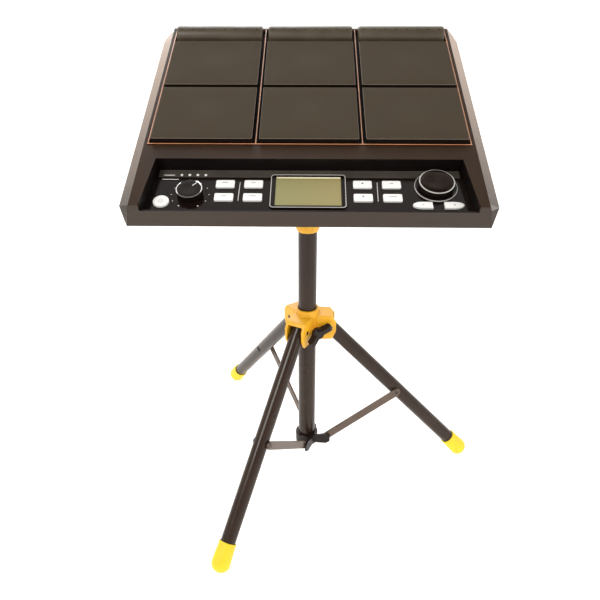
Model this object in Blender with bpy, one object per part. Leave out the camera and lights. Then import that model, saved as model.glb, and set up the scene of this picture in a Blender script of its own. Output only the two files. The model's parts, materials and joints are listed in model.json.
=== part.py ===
"""Electronic practice pad on a folding tripod stand, in metres with +Z up.

The pad unit is built in deck coordinates: u runs to the player's right, v away from the player and w
out of the playing deck. The stand is built round its column, with a turned frame for each leg.
"""

from math import atan2, cos, hypot, pi, radians, sin

import bmesh
import bpy
from mathutils import Matrix, Vector

GAP = 0.0003  # left between neighbouring pieces

# Stand: column, hub and legs. Heights are above the floor, "out" is the distance from the column's axis.
COLUMN_X, COLUMN_Y = -0.0305, 0.0070  # puts the whole object's box centre on the origin
COLUMN_R = 0.0125
COLUMN_BOTTOM, COLUMN_TOP = 0.0360, 0.3980
TUBE_WALL = 0.0015
MAST_R = 0.0086
MAST_BOTTOM, MAST_TOP = 0.2000, 0.4550
LEG_AZIMUTHS = [radians(angle) for angle in (-117, 3, 123)]
BRACE_SIDES = (1, -1, -1)  # which side of its leg each brace lies on
LEG_R = 0.0100
LEG_SLOPE = radians(47.7)  # below the horizontal, with the stand open
HUB_PIN_OUT, HUB_PIN_Z = 0.0260, 0.2470
PIN_R = 0.0028
FOOT_R = 0.0125
FOOT_FLAT = 0.0010  # how much of the round foot end the floor cuts off
BRACKET_ON_LEG = 0.1580  # from the hub pin, along the leg
BRACKET_R = LEG_R + 0.0013
SPIDER_PIN_OUT, SPIDER_PIN_Z = 0.0270, 0.0480
SPIDER_R, SPIDER_LOW, SPIDER_HIGH = 0.0168, 0.0345, 0.0515
STUD_R = 0.0025
BRACE_HALF_WIDTH, BRACE_THICKNESS = 0.0058, 0.0028
BRACE_INNER_FACE = LEG_R + 0.0016  # distance of the brace from its leg's middle plane
HUB_R, HUB_LOW, HUB_HIGH = 0.0174, 0.2330, 0.2720
FORK_HALF_WIDTH, FORK_LOW, FORK_OUT = 0.0142, 0.2270, 0.0395
HUB_BOSS_R, HUB_BOSS_OUT = 0.0075, 0.0225
HUB_KNOB_AZIMUTH, HUB_KNOB_Z, HUB_KNOB_TURN = radians(-57), 0.2430, radians(122)
COLLAR_R, COLLAR_NECK_R, COLLAR_LOW, COLLAR_HIGH = 0.0162, 0.0146, 0.3875, 0.4120
COLLAR_BOSS_R, COLLAR_BOSS_OUT = 0.0066, 0.0200
COLLAR_KNOB_Z = 0.4040

# Tilt mount between the mast and the unit.
TILT_Z = 0.4780
CHEEK_INNER, CHEEK_OUTER, CHEEK_R = 0.0105, 0.0145, 0.0100
PLATE_HALF = 0.0480
SOCKET_R, SOCKET_BELOW, SOCKET_ABOVE = 0.0118, 0.0150, 0.0120  # the head's socket round the mast's top
TONGUE_R = 0.0095
BOLT_HEAD_R, BOLT_HEAD_END, BOLT_TIP = 0.0055, -0.0185, 0.0260

# Wing knobs, from the face that meets the work. Heights are along the knob's own axis.
KNOB_FACE_R, KNOB_WIDE_R, KNOB_CROWN_R = 0.0075, 0.0085, 0.0060
KNOB_WIDE, KNOB_CROWN = 0.0070, 0.0110
KNOB_DEEP_CROWN, KNOB_BORE_DEPTH = 0.0150, 0.0125
WING_HALF_THICKNESS = 0.0036

# Pad unit. The deck is the plane w = 0, and it leans to the player.
DECK_X, DECK_Y, DECK_Z = 0.0013, -0.0019, 0.5488
DECK_TILT = radians(22)
UNIT_HALF = 0.1925  # half the width over the side rims
DECK_HALF = 0.1820  # half the width of the flat deck between the side bevels
FRONT, BACK = -0.1758, 0.1690
RIM_W = -0.0050
FOOT_INSET = 0.0007  # how far the front and sides lean in towards the parting line
SHELL_W = -0.0305  # parting line of the two shells
WALL = 0.0030
CORNER_DEPTH, SIDE_END, BACK_FLAT = 0.0045, 0.1430, 0.1830  # cut front corners and rounded back corners
PAN_HALF, PAN_FRONT, PAN_BACK = 0.1880, -0.1705, 0.1660
PAN_FRONT_W, PAN_BACK_W = -0.0325, -0.0530

# Pads: three columns, two rows of square pads and one row of bars.
PAD_COLUMNS = ((-0.1745, -0.0625), (-0.0549, 0.0549), (0.0625, 0.1745))
PAD_ROWS = ((-0.0750, 0.0230), (0.0290, 0.1270))
BAR_ROW = (0.1380, 0.1625)
PAD_TOP, BAR_TOP = 0.0060, 0.0118
PAD_BASE_W = -0.0033
PAD_EDGE, PAD_CORNER = 0.0006, 0.0015
FIELD_HALF, FIELD_FRONT, FIELD_BACK = 0.1783, -0.0783, 0.1650
TRIM_WIDTH, TRIM_TOP = 0.0018, 0.0006
DIVIDER_U = 0.0587

# Control recess and its panel.
RECESS_BACK, RECESS_FRONT = -0.1020, -0.1735
RECESS_BACK_HALF, RECESS_FRONT_HALF = 0.1650, 0.1715
LIP_W = -0.0076
PANEL_TOP, PANEL_BOTTOM = -0.0153, -0.0170
BUTTON_U = (-0.0890, -0.0587, 0.0572, 0.0880)
BUTTON_V = (-0.1266, -0.1473)
BUTTON_SIZE = (0.0200, 0.0112)
BUTTON_TOP = -0.0133
STEP_BUTTONS = {"minus_button": (0.1183, -0.1580), "plus_button": (0.1509, -0.1580)}
STEP_LENGTH, STEP_WIDTH = 0.0206, 0.0096
POWER_AT, POWER_R = (-0.1540, -0.1540), 0.0085
VOLUME_AT, VOLUME_R = (-0.1250, -0.1424), 0.0137
ENCODER_AT, ENCODER_R = (0.1350, -0.1290), 0.0188
KNOB_TOP = -0.0060
SHAFT_R, SHAFT_LENGTH = 0.0030, 0.0140
ENCODER_RING_R, ENCODER_RING_HEIGHT = 0.0229, 0.0008
LED_U, LED_V, LED_R = (-0.1377, -0.1290, -0.1203, -0.1116), -0.1116, 0.0015
BUTTON_CORNER, FLANGE_HEIGHT = 0.0014, 0.0030
LCD_OUTER = (-0.0407, 0.0397, -0.1636, -0.1116)  # u, u, v, v
LCD_INNER = (-0.0356, 0.0368, -0.1598, -0.1142)
JACK_U, JACK_R, JACK_DEPTH = (-0.0400, 0.0, 0.0400), 0.0050, 0.0120
JACK_W, JACK_HALF_W, JACK_PANEL_HALF, JACK_PANEL_DEPTH = -0.0418, 0.0066, 0.0600, 0.0180


def clear_scene():
    for item in list(bpy.data.objects):
        bpy.data.objects.remove(item)


def material(name, colour, roughness, metallic=0.0):
    made = bpy.data.materials.new(name)
    made.use_nodes = True
    shader = made.node_tree.nodes["Principled BSDF"]
    shader.inputs["Base Color"].default_value = (*colour, 1.0)
    shader.inputs["Roughness"].default_value = roughness
    shader.inputs["Metallic"].default_value = metallic
    return made


def frame_empty(name, location, rotation=(0.0, 0.0, 0.0), parent=None):
    """A parent for the pieces that share one set of axes."""
    made = bpy.data.objects.new(name, None)
    made.location, made.rotation_euler, made.parent = location, rotation, parent
    bpy.context.scene.collection.objects.link(made)
    return made


def add(name, shape, parent=None, location=(0, 0, 0), rotation=(0, 0, 0), look=None, smooth=35):
    """An object from a bmesh: a piece when it has a look, and otherwise a hidden helper."""
    bmesh.ops.recalc_face_normals(shape, faces=shape.faces)
    mesh = bpy.data.meshes.new(name)
    shape.to_mesh(mesh)
    shape.free()
    made = bpy.data.objects.new(name, mesh)
    made.location, made.rotation_euler, made.parent = location, rotation, parent
    bpy.context.scene.collection.objects.link(made)
    if look:
        mesh.materials.append(look)
        mesh.shade_smooth()
        mesh.set_sharp_from_angle(angle=radians(smooth))
    else:
        made.hide_render = True
        made.display_type = "WIRE"
    return made


def combine(piece, operation, shape, location=(0, 0, 0), rotation=(0, 0, 0)):
    """Adds a shape to the piece, or takes it away, in the coordinates of the piece's parent."""
    helper = add(f"{piece.name}_{operation.lower()}_helper", shape, piece.parent, location, rotation)
    boolean = piece.modifiers.new(operation.title(), "BOOLEAN")
    boolean.operation = operation
    boolean.object = helper


def fuse(piece, shape, location=(0, 0, 0), rotation=(0, 0, 0)):
    combine(piece, "UNION", shape, location, rotation)


def cut(piece, shape, location=(0, 0, 0), rotation=(0, 0, 0)):
    combine(piece, "DIFFERENCE", shape, location, rotation)


def stack(rings):
    """A solid through rings of points, each ring with the same number of points."""
    shape = bmesh.new()
    levels = [[shape.verts.new(point) for point in ring] for ring in rings]
    count = len(levels[0])
    for low, high in zip(levels, levels[1:]):
        for i in range(count):
            j = (i + 1) % count
            shape.faces.new((low[i], low[j], high[j], high[i]))
    shape.faces.new(levels[0])
    shape.faces.new(levels[-1])
    return shape


def prism(outline, low, high, axis="z"):
    """A flat outline pushed out along one axis. Along x the outline is (y, z), and along y (x, z)."""
    place = {
        "z": lambda a, b, c: (a, b, c),
        "x": lambda a, b, c: (c, a, b),
        "y": lambda a, b, c: (a, c, b),
    }[axis]
    return stack([[place(a, b, level) for a, b in outline] for level in (low, high)])


def rectangle(u0, u1, v0, v1, cut_corner=0.0):
    """Corner points of a rectangle, with its corners cut off where cut_corner is given."""
    if not cut_corner:
        return [(u0, v0), (u1, v0), (u1, v1), (u0, v1)]
    c = cut_corner
    return [(u0 + c, v0), (u1 - c, v0), (u1, v0 + c), (u1, v1 - c),
            (u1 - c, v1), (u0 + c, v1), (u0, v1 - c), (u0, v0 + c)]


def half_oval(length, width, side, steps=8):
    """Outline of a button with one square end and one rounded end, which points along side times u."""
    start, reach = -length / 2, 0.0105
    points = [(start, -width / 2)]
    for i in range(steps + 1):
        angle = -pi / 2 + pi * i / steps
        points.append((length / 2 - reach + reach * cos(angle), width / 2 * sin(angle)))
    points.append((start, width / 2))
    return [(side * u, v) for u, v in points][::side]


def block(u0, u1, v0, v1, w0, w1):
    return prism(rectangle(u0, u1, v0, v1), w0, w1)


def stadium(start, end, half_width, steps=6):
    """Outline of a bar from start to end along x, with round ends."""
    points = []
    for centre, first in ((end, -pi / 2), (start, pi / 2)):
        for i in range(steps + 1):
            angle = first + pi * i / steps
            points.append((centre + half_width * cos(angle), half_width * sin(angle)))
    return points


def turned(profile, count=24, bored=False):
    """A solid turned about +Z from (radius, height) points. A bored profile closes on itself."""
    shape = bmesh.new()
    rings = []
    for radius, height in profile:
        if radius:
            angles = [2 * pi * i / count for i in range(count)]
            rings.append([shape.verts.new((radius * cos(a), radius * sin(a), height)) for a in angles])
        else:
            rings.append([shape.verts.new((0, 0, height))] * count)
    for low, high in zip(rings, rings[1:] + (rings[:1] if bored else [])):
        for i in range(count):
            j = (i + 1) % count
            corners = list(dict.fromkeys((low[i], low[j], high[j], high[i])))
            if len(corners) > 2:
                shape.faces.new(corners)
    return shape


def rod(radius, low, high, count=16):
    return turned([(0, low), (radius, low), (radius, high), (0, high)], count)


def tube(radius, bore, low, high, count=24):
    return turned([(bore, low), (radius, low), (radius, high), (bore, high)], count, bored=True)


ALONG_X = (0.0, pi / 2, 0.0)  # turns a solid made along +Z to lie along +X
ALONG_Y = (-pi / 2, 0.0, 0.0)


def wing_knob(name, parent, location, rotation, tip, face, look, blind_bore=0.0):
    """A wing knob turned about its own +Z, with a screw down to tip or a blind bore for a bolt."""
    if blind_bore:
        crown, bore_end = face + KNOB_DEEP_CROWN, face + KNOB_BORE_DEPTH
        inner = [(0, bore_end), (blind_bore, bore_end), (blind_bore, face)]
    else:
        crown = face + KNOB_CROWN
        inner = [(0, tip), (SHAFT_R, tip), (SHAFT_R, face)]
    outer = [(KNOB_FACE_R, face), (KNOB_WIDE_R, face + KNOB_WIDE), (KNOB_CROWN_R, crown), (0, crown)]
    knob = add(name, turned(inner + outer, 16), parent, location, rotation, look)
    half = [(0.0070, 0.0), (0.0190, 0.0050), (0.0200, 0.0110), (0.0160, 0.0140)]
    outline = half + [(0.0, 0.0085)] + [(-x, z) for x, z in reversed(half)]
    wing = prism(outline, -WING_HALF_THICKNESS, WING_HALF_THICKNESS, "y")
    rise = face + (0.0027 if blind_bore else 0.0015)
    bmesh.ops.translate(wing, vec=(0, 0, rise), verts=wing.verts)
    fuse(knob, wing, location, rotation)
    if blind_bore:
        cut(knob, rod(blind_bore, face - 0.001, bore_end), location, rotation)


# ---------------------------------------------------------------- pad unit

def shell_ring(half, front_flat, back_flat, front, back, w):
    """One level of the casing's outline. The flats are half the straight widths at front and back."""
    right = [(front_flat, front), (half, front + CORNER_DEPTH), (half, SIDE_END),
             (half - 0.35 * (half - back_flat), SIDE_END + 0.0170), (back_flat, back)]
    return [(u, v, w) for u, v in right] + [(-u, v, w) for u, v in reversed(right)]


def recess_outline(grow):
    """The control recess in plan, grown outwards by the given distance."""
    front, back = RECESS_FRONT - grow, RECESS_BACK + grow
    return [(-RECESS_FRONT_HALF - grow, front), (RECESS_FRONT_HALF + grow, front),
            (RECESS_BACK_HALF + grow, back), (-RECESS_BACK_HALF - grow, back)]


def upper_shell(deck, look):
    low_half, low_front = UNIT_HALF - FOOT_INSET, FRONT + 2 * FOOT_INSET
    shell = add("upper_shell", stack([
        shell_ring(low_half, low_half - 0.0022, BACK_FLAT, low_front, BACK - FOOT_INSET, SHELL_W),
        shell_ring(UNIT_HALF, DECK_HALF + 0.0020, BACK_FLAT, FRONT, BACK, RIM_W),
        shell_ring(DECK_HALF, DECK_HALF, DECK_HALF, FRONT, BACK, 0.0),
    ]), deck, look=look)
    inside_half, inside_front, inside_back = UNIT_HALF - WALL - 0.0015, FRONT + WALL, BACK - 0.0022
    inside_end = SIDE_END - 0.0050
    levels = []
    for half, back_half, w in ((inside_half, DECK_HALF, SHELL_W - 0.01), (inside_half, DECK_HALF, -0.0090),
                               (DECK_HALF - 0.0020, DECK_HALF - 0.0020, -WALL)):
        levels.append([(-half, inside_front, w), (half, inside_front, w), (half, inside_end, w),
                       (back_half, inside_back, w), (-back_half, inside_back, w), (-half, inside_end, w)])
    cut(shell, stack(levels))
    tub = prism([(u, max(v, FRONT + 0.0010)) for u, v in recess_outline(WALL)], -0.0198, -0.0020)
    fuse(shell, tub)
    cut(shell, prism(recess_outline(0.0), PANEL_BOTTOM - GAP, 0.0100))
    cut(shell, prism(recess_outline(-WALL), -0.0300, PANEL_BOTTOM))
    lip_half = RECESS_FRONT_HALF + 0.0006
    cut(shell, block(-lip_half, lip_half, FRONT - 0.01, RECESS_FRONT + 0.001, LIP_W, 0.01))
    cut(shell, block(-FIELD_HALF - GAP, FIELD_HALF + GAP, FIELD_FRONT - GAP, FIELD_BACK + GAP, -0.02, 0.01))


def pan_floor(v):
    """Height of the lower shell's sloping underside."""
    return PAN_FRONT_W + (PAN_BACK_W - PAN_FRONT_W) * (v - PAN_FRONT) / (PAN_BACK - PAN_FRONT)


def lower_shell(deck, look):
    top = SHELL_W - GAP
    outer = [(PAN_FRONT, top), (PAN_BACK, top), (PAN_BACK, PAN_BACK_W), (PAN_FRONT, PAN_FRONT_W)]
    shell = add("lower_shell", prism(outer, -PAN_HALF, PAN_HALF, "x"), deck, look=look)
    front, back = PAN_FRONT + 0.030, PAN_BACK - 0.0025
    inner = [(front, 0.0), (back, 0.0), (back, pan_floor(back) + 0.0025), (front, pan_floor(front) + 0.0022)]
    cut(shell, prism(inner, -PAN_HALF + 0.0025, PAN_HALF - 0.0025, "x"))
    cut(shell, block(-JACK_PANEL_HALF, JACK_PANEL_HALF, PAN_BACK - 0.0080, PAN_BACK + 0.0020,
                     JACK_W - JACK_HALF_W, JACK_W + JACK_HALF_W))


def jack_panel(deck, look):
    face = PAN_BACK - GAP
    half_u, half_w = JACK_PANEL_HALF - GAP, JACK_HALF_W - GAP
    body = block(-half_u, half_u, PAN_BACK - JACK_PANEL_DEPTH, face, JACK_W - half_w, JACK_W + half_w)
    panel = add("jack_panel", body, deck, look=look)
    for u in JACK_U:
        cut(panel, rod(JACK_R, 0.0, JACK_DEPTH + 0.002, 12), (u, face - JACK_DEPTH, JACK_W), ALONG_Y)


def pads(deck, look):
    number = 0
    for v0, v1 in PAD_ROWS:
        for u0, u1 in PAD_COLUMNS:
            number += 1
            rings = [rectangle(u0, u1, v0, v1, PAD_CORNER)] * 2
            rings.append(rectangle(u0 + PAD_EDGE, u1 - PAD_EDGE, v0 + PAD_EDGE, v1 - PAD_EDGE, PAD_CORNER))
            levels = (PAD_BASE_W, PAD_TOP - PAD_EDGE, PAD_TOP)
            shape = stack([[(u, v, w) for u, v in ring] for ring, w in zip(rings, levels)])
            add(f"pad_{number}", shape, deck, look=look)


def bar_pads(deck, look):
    middle, half = sum(BAR_ROW) / 2, (BAR_ROW[1] - BAR_ROW[0]) / 2
    arc = [(middle + half * cos(pi * i / 10), BAR_TOP * sin(pi * i / 10)) for i in range(11)]
    outline = [(BAR_ROW[1], PAD_BASE_W)] + arc + [(BAR_ROW[0], PAD_BASE_W)]
    for number, (u0, u1) in enumerate(PAD_COLUMNS, 1):
        add(f"bar_pad_{number}", prism(outline, u0, u1, "x"), deck, look=look)


def trim_frame(deck, look):
    trim = add("trim_frame", block(-FIELD_HALF, FIELD_HALF, FIELD_FRONT, FIELD_BACK, PAD_BASE_W, TRIM_TOP),
               deck, look=look)
    thin = TRIM_WIDTH / 2
    edges = (-FIELD_HALF + TRIM_WIDTH, -DIVIDER_U - thin, -DIVIDER_U + thin,
             DIVIDER_U - thin, DIVIDER_U + thin, FIELD_HALF - TRIM_WIDTH)
    for u0, u1 in zip(edges[::2], edges[1::2]):
        cut(trim, block(u0, u1, FIELD_FRONT + TRIM_WIDTH, FIELD_BACK - 0.0006, -0.02, 0.02))


def control_panel(deck, look):
    panel = add("control_panel", prism(recess_outline(-GAP), PANEL_BOTTOM, PANEL_TOP), deck, look=look)
    low, high = PANEL_BOTTOM - 0.005, PANEL_TOP + 0.005
    half_u, half_v = BUTTON_SIZE[0] / 2 + GAP, BUTTON_SIZE[1] / 2 + GAP
    for u in BUTTON_U:
        for v in BUTTON_V:
            hole = rectangle(u - half_u, u + half_u, v - half_v, v + half_v, BUTTON_CORNER)
            cut(panel, prism(hole, low, high))
    for side, (u, v) in zip((-1, 1), STEP_BUTTONS.values()):
        hole = half_oval(STEP_LENGTH + 2 * GAP, STEP_WIDTH + 2 * GAP, side)
        cut(panel, prism([(u + a, v + b) for a, b in hole], low, high))
    for (u, v), radius, count in ((POWER_AT, POWER_R + GAP, 20), (VOLUME_AT, SHAFT_R + GAP, 12),
                                  (ENCODER_AT, SHAFT_R + GAP, 12)):
        cut(panel, rod(radius, low, high, count), (u, v, 0))
    for u in LED_U:
        cut(panel, rod(LED_R + GAP, low, high, 8), (u, LED_V, 0))
    u0, u1, v0, v1 = LCD_INNER
    cut(panel, block(u0, u1, v0, v1, low, high))


def push_button(name, outline, grow, deck, location, look):
    """A cap on its guide, with a flange under the panel that keeps it in."""
    levels = [[(u * grow, v * grow, PANEL_BOTTOM - GAP - FLANGE_HEIGHT) for u, v in outline],
              [(u * grow, v * grow, PANEL_BOTTOM - GAP) for u, v in outline],
              [(u, v, PANEL_BOTTOM - GAP) for u, v in outline],
              [(u, v, BUTTON_TOP - 0.0004) for u, v in outline],
              [(u * 0.96, v * 0.94, BUTTON_TOP) for u, v in outline]]
    top = [[(u, v, w - BUTTON_TOP) for u, v, w in level] for level in levels]
    add(name, stack(top), deck, (*location, BUTTON_TOP), look=look)


def buttons(deck, look):
    half_u, half_v = BUTTON_SIZE[0] / 2, BUTTON_SIZE[1] / 2
    outline = rectangle(-half_u, half_u, -half_v, half_v, BUTTON_CORNER)
    number = 0
    for v in BUTTON_V:
        for u in BUTTON_U:
            number += 1
            push_button(f"button_{number}", outline, 1.10, deck, (u, v), look)
    for side, (name, place) in zip((-1, 1), STEP_BUTTONS.items()):
        push_button(name, half_oval(STEP_LENGTH, STEP_WIDTH, side), 1.10, deck, place, look)
    circle = [(POWER_R * cos(pi * i / 10), POWER_R * sin(pi * i / 10)) for i in range(20)]
    push_button("power_button", circle, 1.12, deck, POWER_AT, look)


def knobs(deck, looks):
    base = PANEL_TOP + GAP
    skirt = base - KNOB_TOP  # where the knob's body starts, below its top
    volume = [(0, -SHAFT_LENGTH), (SHAFT_R, -SHAFT_LENGTH), (SHAFT_R, skirt), (VOLUME_R, skirt),
              (VOLUME_R - 0.0004, -0.0008), (VOLUME_R - 0.0012, 0), (0, 0)]
    add("volume_knob", turned(volume, 24), deck, (*VOLUME_AT, KNOB_TOP), look=looks["knob"])
    dial = [(0, -SHAFT_LENGTH), (SHAFT_R, -SHAFT_LENGTH), (SHAFT_R, skirt), (ENCODER_R, skirt),
            (ENCODER_R, -0.0012), (ENCODER_R - 0.0012, 0), (0, 0)]
    add("encoder_knob", turned(dial, 32), deck, (*ENCODER_AT, KNOB_TOP), look=looks["dial"])
    ring = tube(ENCODER_RING_R, ENCODER_R + 0.0012, base, base + ENCODER_RING_HEIGHT, 32)
    add("encoder_ring", ring, deck, (*ENCODER_AT, 0), look=looks["chrome"])


def display(deck, looks):
    u0, u1, v0, v1 = LCD_OUTER
    bezel = add("lcd_bezel", prism(rectangle(u0, u1, v0, v1, 0.0030), PANEL_TOP + GAP, PANEL_TOP + 0.0018),
                deck, look=looks["chrome"])
    u0, u1, v0, v1 = LCD_INNER
    cut(bezel, block(u0, u1, v0, v1, -0.03, 0.0))
    add("lcd_screen", block(u0 + GAP, u1 - GAP, v0 + GAP, v1 - GAP, -0.0195, PANEL_TOP + 0.0008),
        deck, look=looks["screen"])


def led_strip(deck, look):
    low = PANEL_BOTTOM - GAP
    strip = add("led_strip", block(LED_U[0] - 0.004, LED_U[-1] + 0.004, LED_V - 0.0022, LED_V + 0.0022,
                                   low - 0.0020, low), deck, look=look)
    for u in LED_U:
        fuse(strip, rod(LED_R, low - 0.0010, PANEL_TOP + 0.0007, 8), (u, LED_V, 0))


def pad_unit(deck, looks):
    upper_shell(deck, looks["casing"])
    lower_shell(deck, looks["casing"])
    jack_panel(deck, looks["panel"])
    pads(deck, looks["rubber"])
    bar_pads(deck, looks["rubber"])
    trim_frame(deck, looks["trim"])
    add("sensor_plate", block(-0.1795, 0.1795, -0.0815, 0.1640, -0.0056, PAD_BASE_W - GAP), deck,
        look=looks["steel"])
    control_panel(deck, looks["panel"])
    display(deck, looks)
    buttons(deck, looks["white"])
    knobs(deck, looks)
    led_strip(deck, looks["white"])
    add("circuit_board", block(-0.1560, 0.1560, -0.1620, -0.1060, -0.0256, -0.0240), deck,
        look=looks["board"])


# ---------------------------------------------------------------- mount and mast

def mount_bracket(column, look):
    """The plate under the unit, with two cheeks for the tilt bolt, in axes turned with the plate."""
    slope = DECK_TILT - atan2(PAN_FRONT_W - PAN_BACK_W, PAN_BACK - PAN_FRONT)
    mid = Vector((0, 0, pan_floor(0.0)))
    mid.rotate(Matrix.Rotation(DECK_TILT, 3, "X"))
    mid += Vector((0, DECK_Y, DECK_Z - TILT_Z))
    normal = Vector((0, -sin(slope), cos(slope)))
    top = mid.dot(normal) - GAP
    at, turn = (0, 0, TILT_Z), (slope, 0, 0)
    plate = block(-PLATE_HALF, PLATE_HALF, -PLATE_HALF, PLATE_HALF, top - WALL, top)
    bracket = add("mount_bracket", plate, column, at, turn, look)
    arc = [(CHEEK_R * cos(a), CHEEK_R * sin(a)) for a in [pi + pi * i / 8 for i in range(9)]]
    cheek = [(-0.0180, top - 0.0010)] + arc + [(0.0180, top - 0.0010)]
    for side in (-1, 1):
        inner, outer = side * CHEEK_INNER, side * CHEEK_OUTER
        fuse(bracket, prism(cheek, min(inner, outer), max(inner, outer), "x"), at, turn)
    cut(bracket, rod(SHAFT_R + GAP, -0.03, 0.03), at, ALONG_X)


def tilt_head(column, looks):
    half = CHEEK_INNER - GAP
    socket_low, socket_high = MAST_TOP - SOCKET_BELOW, MAST_TOP + SOCKET_ABOVE
    profile = [(MAST_R + GAP, socket_low), (SOCKET_R, socket_low), (SOCKET_R, socket_high), (0, socket_high),
               (0, MAST_TOP + GAP), (MAST_R + GAP, MAST_TOP + GAP)]
    head = add("mast_head", turned(profile, 24, bored=True), column, look=looks["casing"])
    arc = [(TONGUE_R * cos(pi * i / 8), TILT_Z + TONGUE_R * sin(pi * i / 8)) for i in range(9)]
    tongue = [(TONGUE_R, socket_high - 0.0030)] + arc + [(-TONGUE_R, socket_high - 0.0030)]
    fuse(head, prism(tongue, -half, half, "x"))
    cut(head, rod(SHAFT_R + GAP, -0.03, 0.03), (0, 0, TILT_Z), ALONG_X)
    bolt = [(0, BOLT_HEAD_END), (BOLT_HEAD_R, BOLT_HEAD_END), (BOLT_HEAD_R, -CHEEK_OUTER - GAP),
            (SHAFT_R, -CHEEK_OUTER - GAP), (SHAFT_R, BOLT_TIP), (0, BOLT_TIP)]
    add("tilt_bolt", turned(bolt, 12), column, (0, 0, TILT_Z), ALONG_X, looks["steel"])
    wing_knob("tilt_knob", column, (0, 0, TILT_Z), ALONG_X, 0.0, CHEEK_OUTER + GAP, looks["black"],
              blind_bore=SHAFT_R + GAP)


def mast_and_collar(column, looks):
    add("inner_mast", tube(MAST_R, MAST_R - TUBE_WALL, MAST_BOTTOM, MAST_TOP, 24), column,
        look=looks["tube"])
    low, top = COLLAR_LOW, COLLAR_HIGH
    profile = [(0, low), (COLLAR_NECK_R, low), (COLLAR_R, low + 0.0060), (COLLAR_R, top - 0.0030),
               (COLLAR_R - 0.0014, top), (0, top)]
    collar = add("top_collar", turned(profile, 12), column, look=looks["orange"], smooth=20)
    at = (0, 0, COLLAR_KNOB_Z)
    fuse(collar, rod(COLLAR_BOSS_R, 0.0100, COLLAR_BOSS_OUT, 12), at, ALONG_Y)
    cut(collar, rod(COLUMN_R + GAP, low - 0.01, COLUMN_TOP + GAP, 24))
    cut(collar, rod(MAST_R + GAP, COLUMN_TOP - 0.01, top + 0.01, 24))
    cut(collar, rod(SHAFT_R + GAP, 0.0070, COLLAR_BOSS_OUT + 0.01, 12), at, ALONG_Y)
    wing_knob("collar_knob", column, at, ALONG_Y, MAST_R + 0.0004, COLLAR_BOSS_OUT + GAP, looks["black"])


# ---------------------------------------------------------------- tripod

def hub(column, looks):
    bore = COLUMN_R + GAP
    sleeve = [(bore, HUB_LOW), (HUB_R - 0.0005, HUB_LOW), (HUB_R, HUB_LOW + 0.0050),
              (HUB_R, HUB_HIGH - 0.0080), (HUB_R - 0.0015, HUB_HIGH), (bore, HUB_HIGH)]
    body = add("hub", turned(sleeve, 24, bored=True), column, look=looks["orange"])
    root, slot_root, slot_top = 0.0125, 0.0144, 0.2588
    lobe = [(root, 0.2360), (0.0180, FORK_LOW), (0.0340, FORK_LOW), (FORK_OUT, 0.2390), (FORK_OUT, 0.2550),
            (0.0330, 0.2635), (root, 0.2650)]
    slot_half = LEG_R + 0.0006
    for azimuth in LEG_AZIMUTHS:
        fuse(body, prism(lobe, -FORK_HALF_WIDTH, FORK_HALF_WIDTH, "y"), rotation=(0, 0, azimuth))
    for azimuth in LEG_AZIMUTHS:
        cut(body, block(slot_root, FORK_OUT + 0.01, -slot_half, slot_half, FORK_LOW - 0.01, slot_top),
            rotation=(0, 0, azimuth))
        pin_at = (HUB_PIN_OUT * cos(azimuth), HUB_PIN_OUT * sin(azimuth), HUB_PIN_Z)
        cut(body, rod(PIN_R + GAP, -0.02, 0.02, 12), pin_at, (-pi / 2, 0, azimuth))
    outward = (0, pi / 2, HUB_KNOB_AZIMUTH)
    at = (0, 0, HUB_KNOB_Z)
    fuse(body, rod(HUB_BOSS_R, 0.0140, HUB_BOSS_OUT, 12), at, outward)
    cut(body, rod(bore, FORK_LOW - 0.01, HUB_HIGH + 0.01, 24))
    cut(body, rod(SHAFT_R + GAP, 0.0080, HUB_BOSS_OUT + 0.01, 12), at, outward)


def tripod_hub_knob(column, look):
    """The clamp screw of the hub, with its wings turned to rise to one side."""
    frame = frame_empty("hub_knob_axis", (0, 0, HUB_KNOB_Z), (0, 0, HUB_KNOB_AZIMUTH), column)
    turn = Matrix.Rotation(pi / 2, 3, "Y") @ Matrix.Rotation(HUB_KNOB_TURN, 3, "Z")
    wing_knob("hub_knob", frame, (0, 0, 0), turn.to_euler(), COLUMN_R + 0.0006, HUB_BOSS_OUT + GAP, look)


def spider(column, look):
    """The ring that slides on the column, with an ear and a headed stud for each brace."""
    bore = COLUMN_R + GAP
    wide_top = SPIDER_HIGH - 0.0010
    ring = [(bore, SPIDER_LOW), (SPIDER_R, SPIDER_LOW), (SPIDER_R, wide_top),
            (SPIDER_R - 0.0010, SPIDER_HIGH), (bore, SPIDER_HIGH)]
    body = add("spider", turned(ring, 24, bored=True), column, look=look)
    tip = SPIDER_PIN_OUT + 0.0075
    ear_end = [(SPIDER_PIN_OUT + 0.0020, SPIDER_PIN_Z - 0.0090), (tip, SPIDER_PIN_Z - 0.0055),
               (tip, SPIDER_PIN_Z + 0.0055), (SPIDER_PIN_OUT + 0.0020, SPIDER_PIN_Z + 0.0090)]
    near = BRACE_INNER_FACE + BRACE_THICKNESS + 0.0004
    far = near + 0.0028
    head, head_thickness, head_grow = BRACE_INNER_FACE - 0.0013, 0.0010, 1.8
    ring_points = [(cos(2 * pi * i / 10), sin(2 * pi * i / 10)) for i in range(10)]
    stud, cap = ([(SPIDER_PIN_OUT + radius * x, SPIDER_PIN_Z + radius * z) for x, z in ring_points]
                 for radius in (STUD_R, head_grow * STUD_R))
    # The ears' roots have unequal heights, so two ears that cross beside the ring never share an edge.
    for azimuth, side, root in zip(LEG_AZIMUTHS, BRACE_SIDES, (0.0048, 0.0053, 0.0058)):
        ear = [(0.0, SPIDER_PIN_Z - root)] + ear_end + [(0.0, SPIDER_PIN_Z + root)]
        spans = ((ear, near, far), (stud, head + 0.0004, far - 0.0011), (cap, head, head + head_thickness))
        for outline, start, end in spans:
            fuse(body, prism(outline, *sorted((side * start, side * end)), "y"), rotation=(0, 0, azimuth))


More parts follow.
